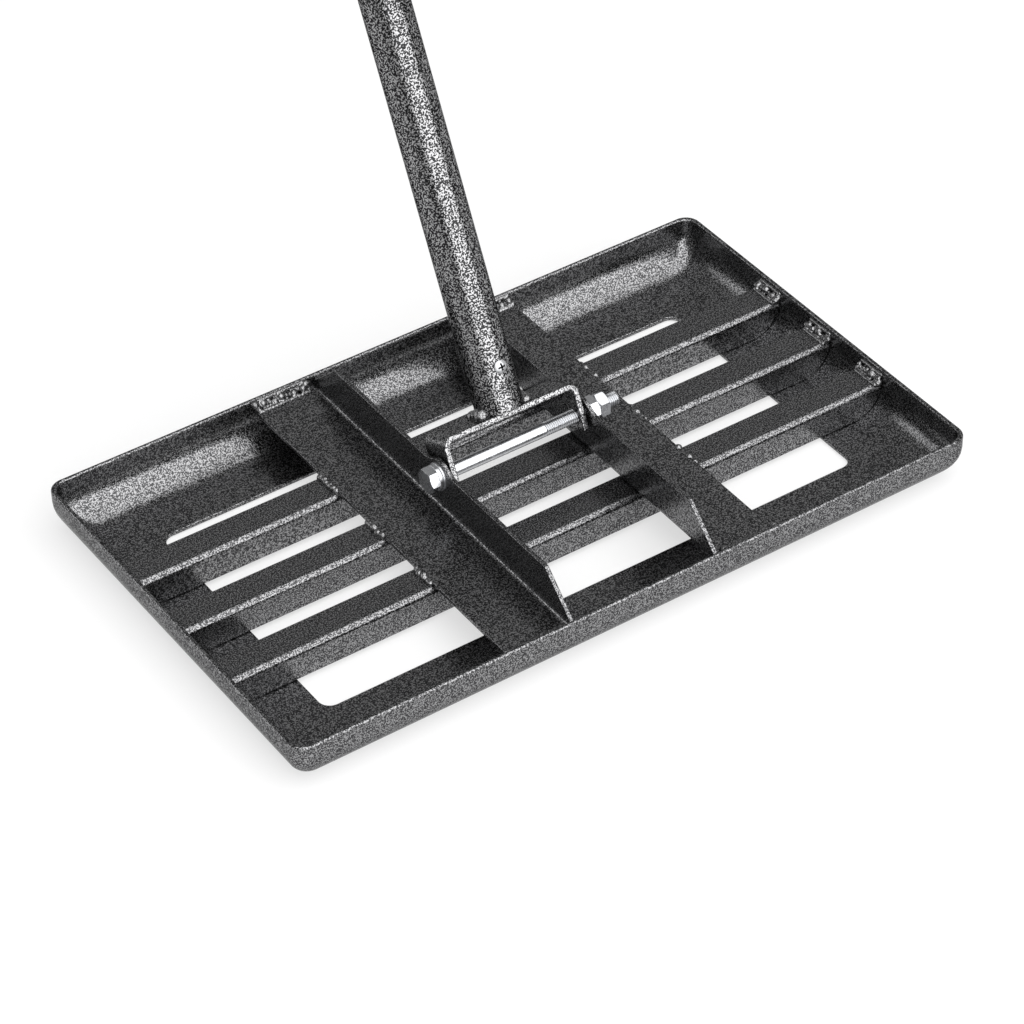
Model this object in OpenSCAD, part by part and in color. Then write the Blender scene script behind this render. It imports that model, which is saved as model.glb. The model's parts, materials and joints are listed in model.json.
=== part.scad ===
// Lawn leveling rake: a shallow steel pan with an open floor, three angle bars across the opening,
// two bent cross-members that carry a pivot bolt, and a sectional tube handle on a yoke.
// Millimetres, +X along the pan, +Y to the back, +Z up, origin at the middle of the pan's underside.

/* [Pan] */
// Length of the pan, side to side
pan_length = 432; // [360:1:600]
// Width of the pan, front to back
pan_width = 256; // [220:1:360]
// Height of the rim above the ground
pan_height = 30; // [27:0.5:50]
// Thickness of the pan's sheet
pan_sheet = 2.5; // [1.5:0.1:4]
// Inside radius of the bend from floor to wall
wall_bend_inside = 19.5; // [8:0.5:22]
// Inside radius of the pan's corners, seen from above
pan_corner_inside = 6.5; // [4:0.5:18]
// Floor left at each end of the opening, measured from the rim
end_border = 44; // [32:1:70]
// Floor left in front of and behind the opening, measured from the rim
side_border = 45; // [32:1:60]
// Radius of the opening's corners
opening_corner = 7; // [2:0.5:12]

/* [Bars] */
// Width of a bar's top flange
bar_flange = 19.5; // [14:0.5:26]
// Height of a bar
bar_height = 19; // [12:0.5:20]
// Thickness of a bar's sheet
bar_sheet = 2.5; // [1.5:0.1:4]
// Inside radius of a bar's bend
bar_bend_inside = 1; // [0.5:0.1:3]

/* [Cross-members] */
// Clear distance between the two uprights
upright_spacing = 90; // [70:1:130]
// Width of a cross-member's flange, upright included
member_flange = 41; // [30:0.5:55]
// Thickness of a cross-member's sheet
member_sheet = 2.5; // [1.5:0.1:4]
// Inside radius of a cross-member's bend
member_bend_inside = 2; // [0.5:0.1:4]
// Height of an upright, from the underside of its flange
upright_height = 27.5; // [24:0.5:40]
// Distance that an upright's top corners stand back from its ends
upright_setback = 24; // [8:0.5:40]
// Radius of the ear around the pivot hole
ear_radius = 10; // [8:0.5:14]
// Height of the ear above the upright's top edge
ear_rise = 5; // [2:0.5:8]
// Radius of the hollow that blends the ear into the top edge
ear_blend = 15; // [4:0.5:25]

/* [Welds] */
// Radius of the beads between the bars and the end walls
bar_end_bead = 5; // [2:0.5:7]
// Radius of the beads between the bars and the cross-members
crossing_bead = 2.5; // [1.5:0.1:4]
// Radius of the beads between the cross-members and the front and back walls
member_end_bead = 4.5; // [2:0.5:6]
// Radius of the two dabs at the foot of the handle socket
socket_bead = 4.5; // [2.5:0.5:6]

/* [Pivot bolt] */
// Distance of the pivot in front of the pan's middle
pivot_forward = 3; // [0:0.5:15]
// Diameter of the bolt
bolt_diameter = 8; // [6:0.5:10]
// Hexagon of the head and nuts, across its flats
hex_flats = 13; // [11:0.5:17]
// Height of the bolt's head
bolt_head_height = 5.3; // [4:0.1:7]
// Height of each nut
nut_height = 6.5; // [4:0.1:8]
// Length of thread beyond the outer nut
bolt_tip = 8.2; // [2:0.1:15]
// Diameter of the plain washer
plain_washer_diameter = 16; // [14:0.5:20]
// Thickness of the plain washer
plain_washer_thickness = 1.6; // [1:0.1:2.5]
// Diameter of the spring washer
spring_washer_diameter = 14.8; // [13:0.1:18]
// Thickness of the spring washer
spring_washer_thickness = 2.2; // [1.5:0.1:3]
// Width of the slit in the spring washer
spring_washer_slit = 1; // [0.5:0.1:2]

/* [Yoke] */
// Lean of the handle from upright, in degrees
handle_lean = 26; // [0:1:60]
// Gap between the yoke and each upright
yoke_gap = 1.25; // [0.5:0.25:6]
// Width of the yoke's flat bar
yoke_bar = 22; // [18:0.5:28]
// Thickness of the yoke's flat bar
yoke_thickness = 3.5; // [3:0.5:6]
// Inside radius of the yoke's bends
yoke_bend_inside = 2.5; // [1:0.5:8]
// Height of the web's top face above the pivot
web_height = 20; // [15:0.5:40]
// Reach of the legs below the pivot
leg_drop = 8; // [7:0.5:10]
// Distance of the flat bar's middle and the handle's axis behind the pivot
handle_offset = 3.5; // [0:0.5:4]

/* [Handle] */
// Outside diameter of the handle tube
tube_diameter = 27; // [22:0.5:32]
// Wall of the handle tube
tube_wall = 1; // [0.8:0.1:2.5]
// Length of each of the three tube sections
section_length = 480; // [300:10:600]
// Length of the socket that stands on the yoke
socket_length = 60; // [45:1:120]
// Length of the inner tube at each joint
spigot_length = 100; // [80:1:200]
// Wall of the socket and of the inner tubes
inner_wall = 1.2; // [1:0.1:2.5]
// Length of the grip
grip_length = 140; // [80:1:250]
// Thickness of the grip
grip_thickness = 3; // [2:0.25:6]
// Thickness of the end plug's head
plug_head = 5; // [3:0.5:10]
// Depth that the end plug reaches into the tube
plug_depth = 22; // [10:1:40]

/* [Handle screws] */
// Height of the lowest screw above the yoke's web
socket_screw_height = 25.5; // [15:0.5:38]
// Distance of each joint screw from its joint
joint_screw_distance = 27; // [12:0.5:35]
// Diameter of a screw's shank
screw_diameter = 4; // [3:0.5:5]
// Diameter of a screw's head
screw_head_diameter = 7.4; // [6:0.1:9]
// Height of a screw's head
screw_head_height = 2.4; // [1.8:0.1:3.5]
// Length of a screw under its head
screw_length = 8; // [5:0.5:10]
// Width of the cross recess
recess_width = 1.1; // [0.6:0.1:1.6]
// Depth of the cross recess
recess_depth = 1.2; // [0.6:0.1:1.6]

/* [Hidden] */
$fn = 96;
// Overrun of every cut past the face that it opens
overrun = 2;
// Gap left between a cut end and the wall that it is welded to
weld_gap = 0.4;
// Radial clearance of the yoke on the bolt
running_clearance = 0.05;
// Radial clearance of parts that slip together and are then fixed
slip_clearance = 0.15;
// Radial clearance of the pivot holes in the uprights
hole_clearance = 0.25;
// Turn of the lock nut against the first nut, in degrees
lock_nut_turn = 22;
// Share of a hexagon's corner radius taken by half its flats
hex_flat_share = cos(30);
// Share of the recess's reach in a screw head's radius
recess_reach_share = 0.6;
// Share of a screw head's height that is its straight rim
head_rim_share = 0.35;
// Share of a cross-member's flange that its end welds cover
end_weld_share = 0.8;
// Share of a bar's flange that its end welds cover
bar_weld_share = 0.9;
// Share of the plug head's thickness that is its straight rim
plug_rim_share = 0.4;

coat = "#3b3b3d";
zinc = "#c8cbd0";
rubber = "#1d1d1e";

wall_bend_outer = wall_bend_inside + pan_sheet;
pan_corner_outer = pan_corner_inside + pan_sheet;
opening_length = pan_length - 2 * end_border;
opening_width = pan_width - 2 * side_border;
bar_count = 3;
slot_width = (opening_width - bar_count * bar_flange) / (bar_count + 1);
bar_top = pan_sheet + bar_height;
bar_bend_outer = bar_bend_inside + bar_sheet;
member_bend_outer = member_bend_inside + member_sheet;
flange_top = bar_top + member_sheet;
upright_top = bar_top + upright_height;
upright_inner = upright_spacing / 2;
upright_outer = upright_inner + member_sheet;
member_outer = upright_inner + member_flange;
pivot_height = upright_top + ear_rise - ear_radius;
pivot_point = [0, -pivot_forward, pivot_height];
bolt_radius = bolt_diameter / 2;
hex_radius = hex_flats / 2 / hex_flat_share;
head_seat = -upright_outer - plain_washer_thickness - spring_washer_thickness;
bolt_end = upright_outer + 2 * nut_height + bolt_tip;
yoke_span = upright_spacing - 2 * yoke_gap;
yoke_bend_outer = yoke_bend_inside + yoke_thickness;
tube_radius = tube_diameter / 2;
inner_radius = tube_radius - tube_wall - slip_clearance;
first_joint = web_height + section_length;
second_joint = first_joint + section_length;
handle_end = second_joint + section_length;
screw_radius = screw_diameter / 2;
member_reach = wall_inner(pan_width / 2, bar_top) - weld_gap;

// Half the clear width between two walls at a height z, for walls whose outer faces are 2 * half apart
function wall_inner(half, z) =
    let (below = max(0, wall_bend_outer - z))
    half - wall_bend_outer + sqrt(pow(wall_bend_inside, 2) - pow(below, 2));

// Radius of the sphere whose cap has a given height over a given rim radius
function cap_sphere(rim, height) = (pow(rim, 2) + pow(height, 2)) / (2 * height);

// Places that follow the handle: the pivot is the origin and the tube runs up +Z
module on_handle() {
    translate(pivot_point) rotate([-handle_lean, 0, 0]) children();
}

// Places along the handle tube's own axis
module on_tube(height) {
    on_handle() translate([0, handle_offset, height]) children();
}

// A flat outline with its two lower corners rounded
module round_bottom(width, bottom, bend, top) {
    translate([-width / 2, bottom + bend]) square([width, top - bottom - bend]);
    translate([-width / 2 + bend, bottom]) square([width - 2 * bend, bend]);
    for (side = [-1, 1])
        translate([side * (width / 2 - bend), bottom + bend]) circle(bend);
}

// A flat outline with all four corners rounded, centred
module rounded_plate(length, width, corner) {
    square([length - 2 * corner, width], center = true);
    square([length, width - 2 * corner], center = true);
    for (x = [-1, 1], y = [-1, 1])
        translate([x * (length / 2 - corner), y * (width / 2 - corner)]) circle(corner);
}

// A flat outline with the corner at its origin rounded
module corner_plate(width, height, corner) {
    translate([corner, 0]) square([width - corner, height]);
    translate([0, corner]) square([width, height - corner]);
    translate([corner, corner]) circle(corner);
}

// Section of a sheet bent to a right angle: its outer corner is the origin, its legs run along +X and +Y
module angle_section(width, height, sheet, bend_inside) {
    difference() {
        corner_plate(width, height, bend_inside + sheet);
        translate([sheet, sheet])
            corner_plate(width - sheet + overrun, height - sheet + overrun, bend_inside);
    }
}

// The pan's outer form, drawn in by inset on every side and cut off level at the top
module pan_form(inset, top) {
    bend = wall_bend_outer - inset;
    intersection() {
        rotate([90, 0, 0])
            linear_extrude(pan_width + overrun, center = true)
                round_bottom(pan_length - 2 * inset, inset, bend, top + overrun);
        rotate([90, 0, 90])
            linear_extrude(pan_length + overrun, center = true)
                round_bottom(pan_width - 2 * inset, inset, bend, top + overrun);
        translate([0, 0, -overrun])
            linear_extrude(top + overrun)
                rounded_plate(pan_length - 2 * inset, pan_width - 2 * inset, pan_corner_outer - inset);
    }
}

// The pressed pan, with one large opening in its floor
module pan() {
    color(coat) difference() {
        pan_form(0, pan_height);
        pan_form(pan_sheet, pan_height + overrun);
        translate([0, 0, -overrun])
            linear_extrude(pan_sheet + 2 * overrun)
                rounded_plate(opening_length, opening_width, opening_corner);
    }
}

// Front edge of a bar, counted from the front
function bar_edge(index) = -opening_width / 2 + slot_width + index * (bar_flange + slot_width);

// An angle bar that stands on the floor, its ends cut to the curve of the end walls
module bar(index) {
    color(coat) intersection() {
        translate([0, bar_edge(index), bar_top])
            rotate([90, 0, 90])
                linear_extrude(pan_length, center = true)
                    mirror([0, 1]) angle_section(bar_flange, bar_height, bar_sheet, bar_bend_inside);
        rotate([90, 0, 0])
            linear_extrude(pan_width, center = true)
                round_bottom(pan_length - 2 * (pan_sheet + weld_gap), pan_sheet, wall_bend_inside,
                    pan_height);
    }
}

module bar_front() { bar(0); }
module bar_middle() { bar(1); }
module bar_back() { bar(2); }

// Side outline of a cross-member: level base, sloped ends and an ear around the pivot hole
module member_outline() {
    drop = ear_radius - ear_rise;
    blend_reach = sqrt(pow(ear_radius + ear_blend, 2) - pow(drop + ear_blend, 2));
    touch_share = ear_radius / (ear_radius + ear_blend);
    polygon([
        [-member_reach, bar_top - overrun], [member_reach, bar_top - overrun], [member_reach, flange_top],
        [member_reach - upright_setback, upright_top], [-member_reach + upright_setback, upright_top],
        [-member_reach, flange_top]
    ]);
    translate([-pivot_forward, pivot_height]) circle(ear_radius);
    translate([-pivot_forward, upright_top]) difference() {
        polygon([
            [-blend_reach, -drop], [blend_reach, -drop], [blend_reach, 0],
            [blend_reach * touch_share, (drop + ear_blend) * touch_share - drop],
            [-blend_reach * touch_share, (drop + ear_blend) * touch_share - drop], [-blend_reach, 0]
        ]);
        for (side = [-1, 1])
            translate([side * blend_reach, ear_blend]) circle(ear_blend);
    }
}

// A bent cross-member: its flange lies on the bars and its upright carries the pivot bolt
module cross_member(side) {
    color(coat) difference() {
        intersection() {
            translate([side * upright_inner, 0, bar_top])
                rotate([90, 0, 0])
                    linear_extrude(2 * member_reach, center = true)
                        mirror([side < 0 ? 1 : 0, 0])
                            angle_section(member_flange, upright_height + ear_rise + overrun, member_sheet,
                                member_bend_inside);
            rotate([90, 0, 90])
                linear_extrude(2 * (member_outer + overrun), center = true) member_outline();
        }
        translate(pivot_point) rotate([0, 90, 0])
            cylinder(r = bolt_radius + hole_clearance, h = 2 * (member_outer + overrun), center = true);
    }
}

module cross_member_left() { cross_member(-1); }
module cross_member_right() { cross_member(1); }

// A quarter-round weld bead along Y: its corner is the origin, and it fills -X and +Z
module bead(radius, length) {
    intersection() {
        rotate([90, 0, 0]) cylinder(r = radius, h = length, center = true);
        translate([-radius - overrun, -length / 2 - overrun, 0])
            cube([radius + overrun, length + 2 * overrun, radius + overrun]);
    }
}

// Beads between the top of each bar and the end walls
module bar_end_welds() {
    color(coat)
        for (index = [0 : bar_count - 1], turn = [0, 180])
            translate([0, bar_edge(index) + bar_flange / 2, bar_top])
                rotate([0, 0, turn]) translate([wall_inner(pan_length / 2, bar_top), 0, 0])
                    bead(bar_end_bead, bar_flange * bar_weld_share);
}

// Beads along the free edge of each cross-member, where it crosses a bar
module bar_crossing_welds() {
    flat = bar_flange - bar_bend_outer;
    color(coat)
        for (index = [0 : bar_count - 1], side = [-1, 1])
            translate([side * member_outer, bar_edge(index) + bar_bend_outer + flat / 2, bar_top])
                rotate([0, 0, side < 0 ? 0 : 180]) bead(crossing_bead, flat);
}

// Beads between the ends of the flanges and the front and back walls
module cross_member_welds() {
    color(coat)
        for (side = [-1, 1], turn = [90, -90])
            translate([side * (upright_outer + member_outer) / 2, 0, flange_top])
                rotate([0, 0, turn]) translate([wall_inner(pan_width / 2, bar_top), 0, 0])
                    bead(member_end_bead, (member_outer - upright_outer) * end_weld_share);
}

// Pieces of the pivot lie along X at the pivot's height
module on_pivot(x) {
    translate(pivot_point) translate([x, 0, 0]) rotate([0, 90, 0]) children();
}

// The hexagon bolt that the handle turns on
module pivot_bolt() {
    color(zinc) {
        on_pivot(head_seat - bolt_head_height) cylinder(r = hex_radius, h = bolt_head_height, $fn = 6);
        on_pivot(head_seat - bolt_head_height / 2)
            cylinder(r = bolt_radius, h = bolt_end - head_seat + bolt_head_height / 2);
    }
}

// The split spring washer under the bolt's head
module spring_washer() {
    outer = spring_washer_diameter / 2;
    color(zinc) on_pivot(head_seat) difference() {
        cylinder(r = outer, h = spring_washer_thickness);
        translate([0, 0, -overrun])
            cylinder(r = bolt_radius + slip_clearance, h = spring_washer_thickness + 2 * overrun);
        translate([0, -spring_washer_slit / 2, -overrun])
            cube([outer + overrun, spring_washer_slit, spring_washer_thickness + 2 * overrun]);
    }
}

// The plain washer against the left upright
module plain_washer() {
    color(zinc) on_pivot(head_seat + spring_washer_thickness) difference() {
        cylinder(d = plain_washer_diameter, h = plain_washer_thickness);
        translate([0, 0, -overrun])
            cylinder(r = bolt_radius + slip_clearance, h = plain_washer_thickness + 2 * overrun);
    }
}

// A hexagon nut, its seat at the origin
module nut(turn) {
    color(zinc) difference() {
        rotate([0, 0, turn]) cylinder(r = hex_radius, h = nut_height, $fn = 6);
        translate([0, 0, -overrun])
            cylinder(r = bolt_radius + running_clearance, h = nut_height + 2 * overrun);
    }
}

module pivot_nut() { on_pivot(upright_outer) nut(0); }
module lock_nut() { on_pivot(upright_outer + nut_height) nut(lock_nut_turn); }

// The flat bar bent to a yoke, which turns on the bolt between the uprights
module yoke() {
    color(coat) on_handle() difference() {
        translate([0, handle_offset, 0]) rotate([90, 0, 0])
            linear_extrude(yoke_bar, center = true) mirror([0, 1]) difference() {
                round_bottom(yoke_span, -web_height, yoke_bend_outer, leg_drop);
                round_bottom(yoke_span - 2 * yoke_thickness, yoke_thickness - web_height,
                    yoke_bend_inside, leg_drop + overrun);
            }
        rotate([0, 90, 0])
            cylinder(r = bolt_radius + running_clearance, h = yoke_span + 2 * overrun, center = true);
    }
}

// A tube that stands on the origin
module tube(radius, wall, length) {
    difference() {
        cylinder(r = radius, h = length);
        translate([0, 0, -overrun]) cylinder(r = radius - wall, h = length + 2 * overrun);
    }
}

// A screw hole in the front of a tube, at a height on the handle
module screw_hole(height) {
    on_tube(height) rotate([90, 0, 0])
        cylinder(r = screw_radius + slip_clearance, h = tube_radius + overrun);
}

// The short tube that is welded on the yoke and carries the handle
module handle_socket() {
    color(coat) difference() {
        on_tube(web_height) tube(inner_radius, inner_wall, socket_length);
        screw_hole(web_height + socket_screw_height);
    }
}

// The two weld dabs at the foot of the socket, left and right
module socket_dabs(room) {
    for (side = [-1, 1])
        on_tube(web_height) translate([side * tube_radius, 0, 0]) sphere(socket_bead + room);
}

module socket_welds() {
    color(coat) difference() {
        socket_dabs(0);
        on_tube(web_height - socket_bead - overrun)
            cylinder(r = inner_radius + slip_clearance, h = 2 * (socket_bead + overrun));
        on_tube(web_height) translate([0, 0, -socket_bead - overrun])
            linear_extrude(socket_bead + overrun) square(2 * (tube_diameter + socket_bead), center = true);
    }
}

// The lowest section: its foot is notched for the weld dabs
module handle_lower() {
    color(coat) difference() {
        on_tube(web_height) tube(tube_radius, tube_wall, section_length);
        socket_dabs(slip_clearance);
        screw_hole(web_height + socket_screw_height);
        screw_hole(first_joint - joint_screw_distance);
    }
}

module handle_middle() {
    color(coat) difference() {
        on_tube(first_joint) tube(tube_radius, tube_wall, section_length);
        screw_hole(first_joint + joint_screw_distance);
        screw_hole(second_joint - joint_screw_distance);
    }
}

module handle_upper() {
    color(coat) difference() {
        on_tube(second_joint) tube(tube_radius, tube_wall, section_length);
        screw_hole(second_joint + joint_screw_distance);
    }
}

// The inner tube that joins two sections
module spigot(joint) {
    color(coat) difference() {
        on_tube(joint - spigot_length / 2) tube(inner_radius, inner_wall, spigot_length);
        screw_hole(joint - joint_screw_distance);
        screw_hole(joint + joint_screw_distance);
    }
}

module spigot_lower() { spigot(first_joint); }
module spigot_upper() { spigot(second_joint); }

// A domed cross-recess screw: its seat is the origin and its head points along +Z
module screw() {
    rim = screw_head_diameter / 2;
    rim_height = screw_head_height * head_rim_share;
    dome = screw_head_height - rim_height;
    ball = cap_sphere(rim, dome);
    translate([0, 0, -screw_length]) cylinder(r = screw_radius, h = screw_length + rim_height / 2);
    difference() {
        intersection() {
            cylinder(r = rim, h = screw_head_height + overrun);
            translate([0, 0, screw_head_height - ball]) sphere(ball);
        }
        for (turn = [0, 90])
            rotate([0, 0, turn])
                translate([-rim * recess_reach_share, -recess_width / 2, screw_head_height - recess_depth])
                    cube([2 * rim * recess_reach_share, recess_width, recess_depth + overrun]);
    }
}

// All five screws, in the front of the handle
module handle_screws() {
    heights = [
        web_height + socket_screw_height, first_joint - joint_screw_distance,
        first_joint + joint_screw_distance, second_joint - joint_screw_distance,
        second_joint + joint_screw_distance
    ];
    color(zinc)
        for (height = heights)
            on_tube(height) rotate([90, 0, 0]) translate([0, 0, tube_radius]) screw();
}

// The soft sleeve on the top section
module grip() {
    outer = tube_radius + grip_thickness;
    color(rubber) on_tube(handle_end - grip_length) difference() {
        cylinder(r = outer, h = grip_length);
        translate([0, 0, -overrun])
            cylinder(r = tube_radius + slip_clearance, h = grip_length + 2 * overrun);
    }
}

// The plug that closes the top of the handle
module end_plug() {
    outer = tube_radius + grip_thickness;
    rim_height = plug_head * plug_rim_share;
    ball = cap_sphere(outer, plug_head - rim_height);
    color(rubber) on_tube(handle_end) {
        translate([0, 0, -plug_depth]) cylinder(r = inner_radius, h = plug_depth + rim_height / 2);
        intersection() {
            cylinder(r = outer, h = plug_head + overrun);
            translate([0, 0, plug_head - ball]) sphere(ball);
        }
    }
}

pan();
bar_front();
bar_middle();
bar_back();
cross_member_left();
cross_member_right();
bar_end_welds();
bar_crossing_welds();
cross_member_welds();
pivot_bolt();
spring_washer();
plain_washer();
pivot_nut();
lock_nut();
yoke();
handle_socket();
socket_welds();
handle_lower();
spigot_lower();
handle_middle();
spigot_upper();
handle_upper();
handle_screws();
grip();
end_plug();
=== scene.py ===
import json
import math

import bmesh
import bpy
from mathutils import Matrix, Quaternion, Vector


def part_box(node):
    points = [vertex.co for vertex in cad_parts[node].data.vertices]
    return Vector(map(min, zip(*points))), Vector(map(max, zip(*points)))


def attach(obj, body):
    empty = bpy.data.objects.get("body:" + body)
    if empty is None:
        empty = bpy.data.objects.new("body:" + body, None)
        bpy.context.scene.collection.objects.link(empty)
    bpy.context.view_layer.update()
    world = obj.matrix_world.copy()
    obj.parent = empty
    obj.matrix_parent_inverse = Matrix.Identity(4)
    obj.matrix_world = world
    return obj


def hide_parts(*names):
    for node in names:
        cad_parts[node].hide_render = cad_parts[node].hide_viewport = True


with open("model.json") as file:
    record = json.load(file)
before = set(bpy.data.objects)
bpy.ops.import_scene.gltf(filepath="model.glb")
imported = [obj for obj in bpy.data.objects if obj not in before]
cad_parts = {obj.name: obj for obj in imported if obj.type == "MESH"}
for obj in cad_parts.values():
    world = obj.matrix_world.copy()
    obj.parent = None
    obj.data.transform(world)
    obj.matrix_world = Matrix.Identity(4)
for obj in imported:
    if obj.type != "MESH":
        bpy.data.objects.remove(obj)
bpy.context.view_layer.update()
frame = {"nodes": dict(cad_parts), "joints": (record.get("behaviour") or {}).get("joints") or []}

# Pan
# A shallow tray pressed from one steel sheet: a wide bend from floor to wall, tight corners, and one long
# opening blanked out of its floor. It is powder coated with the parts that are welded into it.
mm = 0.001
pan_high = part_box("pan")[1]
pan_sheet = 2.5 * mm
wall_bend = 22 * mm
rim_corner = 9 * mm
floor_corner = 5 * mm
opening_half_length = 172 * mm
opening_half_width = 83 * mm
opening_corner = 7 * mm
rim_edge = 1.1 * mm
punched_edge = 0.6 * mm
beside_edge = 1.2 * mm
flat_fall = 0.02 * mm
punched_steps = 2
bend_steps = 10
rim_steps = 4


def level_loop(bm, half_length, half_width, corner, height):
    """Lays a level rectangle of edges with rounded corners and returns its edges."""
    before = set(bm.faces)
    stretch = Matrix.Diagonal((half_length, half_width, 1, 1))
    square = bmesh.ops.create_grid(
        bm, x_segments=1, y_segments=1, size=1, matrix=Matrix.Translation((0, 0, height)) @ stretch)
    bmesh.ops.bevel(
        bm, geom=square["verts"], offset=corner, segments=8, profile=0.5, affect="VERTICES", material=-1)
    plate = next(face for face in bm.faces if face not in before)
    edges = list(plate.edges)
    bm.faces.remove(plate)
    return edges


def quarter(steps):
    """Evenly spaced angles from 0 to a right angle."""
    return [math.pi / 2 * step / steps for step in range(steps + 1)]


def pan_loop(bm, inset, height):
    """A loop of the pan's side, drawn in from the rim's outline and with tighter corners lower down."""
    share = min(1, max(0, inset) / wall_bend)
    corner = rim_corner + (floor_corner - rim_corner) * share
    return level_loop(bm, pan_high.x - inset, pan_high.y - inset, corner, height)


def opening_loop(bm, outset, height):
    """A loop around the opening in the floor."""
    return level_loop(
        bm, opening_half_length + outset, opening_half_width + outset, opening_corner + outset, height)


def silver_vein_group():
    """Shared effect: light veins that crawl through a dark powder coat, and the relief that they leave."""
    group = bpy.data.node_groups.new("silver_vein", "ShaderNodeTree")
    group.interface.new_socket("Vector", in_out="INPUT", socket_type="NodeSocketVector")
    for name in ("Vein scale", "Vein level", "Softness"):
        group.interface.new_socket(name, in_out="INPUT", socket_type="NodeSocketFloat")
    for name in ("Vein", "Roughness", "Height"):
        group.interface.new_socket(name, in_out="OUTPUT", socket_type="NodeSocketFloat")
    nodes = group.nodes
    links = group.links
    start = nodes.new("NodeGroupInput")
    end = nodes.new("NodeGroupOutput")
    crawl = nodes.new("ShaderNodeTexNoise")
    crawl.inputs["Detail"].default_value = 0.4
    crawl.inputs["Roughness"].default_value = 0.5
    crawl.inputs["Distortion"].default_value = 0.4
    links.new(start.outputs["Vector"], crawl.inputs["Vector"])
    links.new(start.outputs["Vein scale"], crawl.inputs["Scale"])
    low = nodes.new("ShaderNodeMath")
    low.operation = "SUBTRACT"
    links.new(start.outputs["Vein level"], low.inputs[0])
    links.new(start.outputs["Softness"], low.inputs[1])
    high = nodes.new("ShaderNodeMath")
    high.operation = "ADD"
    links.new(start.outputs["Vein level"], high.inputs[0])
    links.new(start.outputs["Softness"], high.inputs[1])
    vein = nodes.new("ShaderNodeMapRange")
    vein.interpolation_type = "SMOOTHSTEP"
    links.new(crawl.outputs["Fac"], vein.inputs["Value"])
    links.new(low.outputs["Value"], vein.inputs["From Min"])
    links.new(high.outputs["Value"], vein.inputs["From Max"])
    links.new(vein.outputs["Result"], end.inputs["Vein"])
    gloss = nodes.new("ShaderNodeMapRange")
    gloss.inputs["To Min"].default_value = 0.18
    gloss.inputs["To Max"].default_value = 0.28
    links.new(vein.outputs["Result"], gloss.inputs["Value"])
    links.new(gloss.outputs["Result"], end.inputs["Roughness"])
    links.new(crawl.outputs["Fac"], end.inputs["Height"])
    return group


silver_vein = silver_vein_group()


def vein_coat(name, vein_scale, vein_level, softness, ground, silver, relief, edge):
    """Black powder coat full of metal flake: dark and glossy between the silver veins, bright on them."""
    material = bpy.data.materials.new(name)
    material.use_nodes = True
    nodes = material.node_tree.nodes
    links = material.node_tree.links
    shader = nodes["Principled BSDF"]
    shader.inputs["Metallic"].default_value = 0.95
    shader.inputs["Specular Tint"].default_value = (edge, edge, edge, 1)
    place = nodes.new("ShaderNodeTexCoord")
    veins = nodes.new("ShaderNodeGroup")
    veins.node_tree = silver_vein
    veins.inputs["Vein scale"].default_value = vein_scale
    veins.inputs["Vein level"].default_value = vein_level
    veins.inputs["Softness"].default_value = softness
    links.new(place.outputs["Object"], veins.inputs["Vector"])
    tint = nodes.new("ShaderNodeMix")
    tint.data_type = "RGBA"
    tint.inputs["A"].default_value = (*ground, 1)
    tint.inputs["B"].default_value = (*silver, 1)
    links.new(veins.outputs["Vein"], tint.inputs["Factor"])
    links.new(tint.outputs["Result"], shader.inputs["Base Color"])
    links.new(veins.outputs["Roughness"], shader.inputs["Roughness"])
    bump = nodes.new("ShaderNodeBump")
    bump.inputs["Strength"].default_value = relief
    bump.inputs["Distance"].default_value = 1 * mm
    links.new(veins.outputs["Height"], bump.inputs["Height"])
    links.new(bump.outputs["Normal"], shader.inputs["Normal"])
    return material


pan_coat = vein_coat(
    "pan_coat", vein_scale=1350, vein_level=0.53, softness=0.08, ground=(0.05, 0.05, 0.052),
    silver=(0.32, 0.32, 0.325), relief=0.06, edge=0.55)


def add_piece(name, bm, material, body, slot, *nodes):
    """Turns a finished bmesh into a piece that moves with its body and stands for its CAD nodes."""
    mesh = bpy.data.meshes.new(name)
    bm.to_mesh(mesh)
    bm.free()
    mesh.shade_smooth()
    mesh.materials.append(material)
    piece = bpy.data.objects.new(name, mesh)
    bpy.context.scene.collection.objects.link(piece)
    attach(piece, body)
    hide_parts(*nodes)
    return piece


pan = bmesh.new()
pan_loops = []
for a in quarter(punched_steps):
    height = 2 * flat_fall + punched_edge * (1 - math.sin(a))
    pan_loops.append(opening_loop(pan, punched_edge * (1 - math.cos(a)), height))
pan_loops.append(opening_loop(pan, punched_edge + beside_edge, flat_fall))
for a in quarter(bend_steps):
    pan_loops.append(pan_loop(pan, wall_bend * (1 - math.sin(a)), wall_bend * (1 - math.cos(a))))
pan_loops.append(pan_loop(pan, 0, pan_high.z - rim_edge - beside_edge))
for a in quarter(rim_steps):
    pan_loops.append(pan_loop(pan, rim_edge * (1 - math.cos(a)), pan_high.z - rim_edge * (1 - math.sin(a))))
for a in quarter(rim_steps):
    inset = pan_sheet - rim_edge * (1 - math.sin(a))
    pan_loops.append(pan_loop(pan, inset, pan_high.z - flat_fall - rim_edge * (1 - math.cos(a))))
pan_loops.append(pan_loop(pan, pan_sheet, pan_high.z - rim_edge - beside_edge))
inner_bend = wall_bend - pan_sheet
for a in reversed(quarter(bend_steps)):
    inset = pan_sheet + inner_bend * (1 - math.sin(a))
    pan_loops.append(pan_loop(pan, inset, pan_sheet + inner_bend * (1 - math.cos(a))))
pan_loops.append(opening_loop(pan, punched_edge + beside_edge, pan_sheet - flat_fall))
for a in reversed(quarter(punched_steps)):
    height = pan_sheet - 2 * flat_fall - punched_edge * (1 - math.sin(a))
    pan_loops.append(opening_loop(pan, punched_edge * (1 - math.cos(a)), height))
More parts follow.
